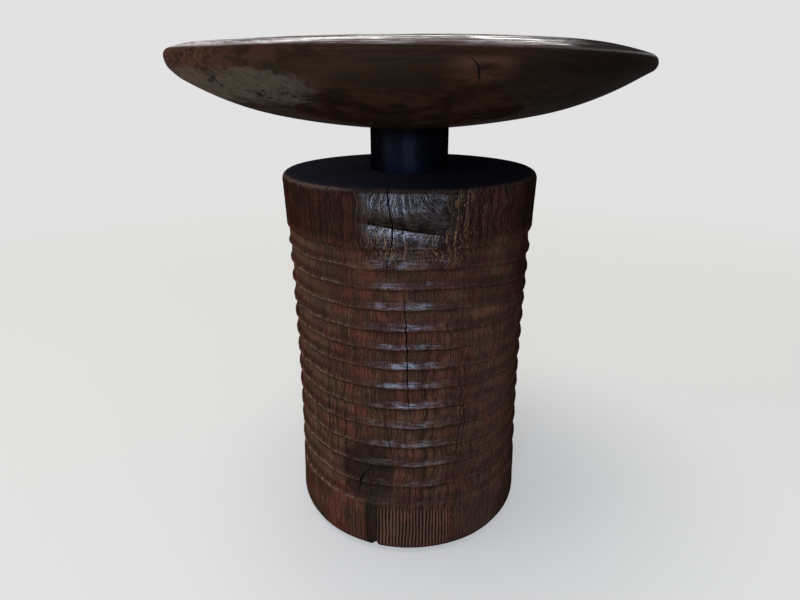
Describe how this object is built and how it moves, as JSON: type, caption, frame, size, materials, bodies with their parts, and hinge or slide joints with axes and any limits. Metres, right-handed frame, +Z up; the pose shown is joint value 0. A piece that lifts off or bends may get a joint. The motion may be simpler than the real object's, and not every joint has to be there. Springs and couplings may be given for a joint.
{
  "type": "drum side table",
  "caption": "Round side table: a ring-carved hollow log drum carries a thick lens-shaped wooden top on a short black steel neck.",
  "frame": {"origin": "on the floor, under the common axis of the drum, the neck and the top", "axes": "+Z up along that axis, from the drum to the top; +X and +Y are level and alike, because the table is round"},
  "size_m": [0.496, 0.496, 0.56],
  "materials": {
    "drum_wood": "waxed, dark brown, hand-carved and weathered",
    "top_wood": "dark stain under a gloss lacquer",
    "black_lacquer": "gloss black lacquer",
    "plain_steel": "zinc plated",
    "nylon": "matte brown"
  },
  "bodies": {
    "root": {"drum_body": "drum_wood", "table_top": "top_wood", "neck_tube": "black_lacquer", "anchor_plate": "plain_steel", "anchor_screws": "plain_steel", "anchor_nut": "plain_steel", "locating_disc": "plain_steel", "locating_screws": "plain_steel", "tie_rod": "plain_steel", "clamp_plate": "plain_steel", "lock_washer": "plain_steel", "clamp_nut": "plain_steel", "floor_glides": "nylon", "glide_nails": "plain_steel"}
  },
  "joints": []
}
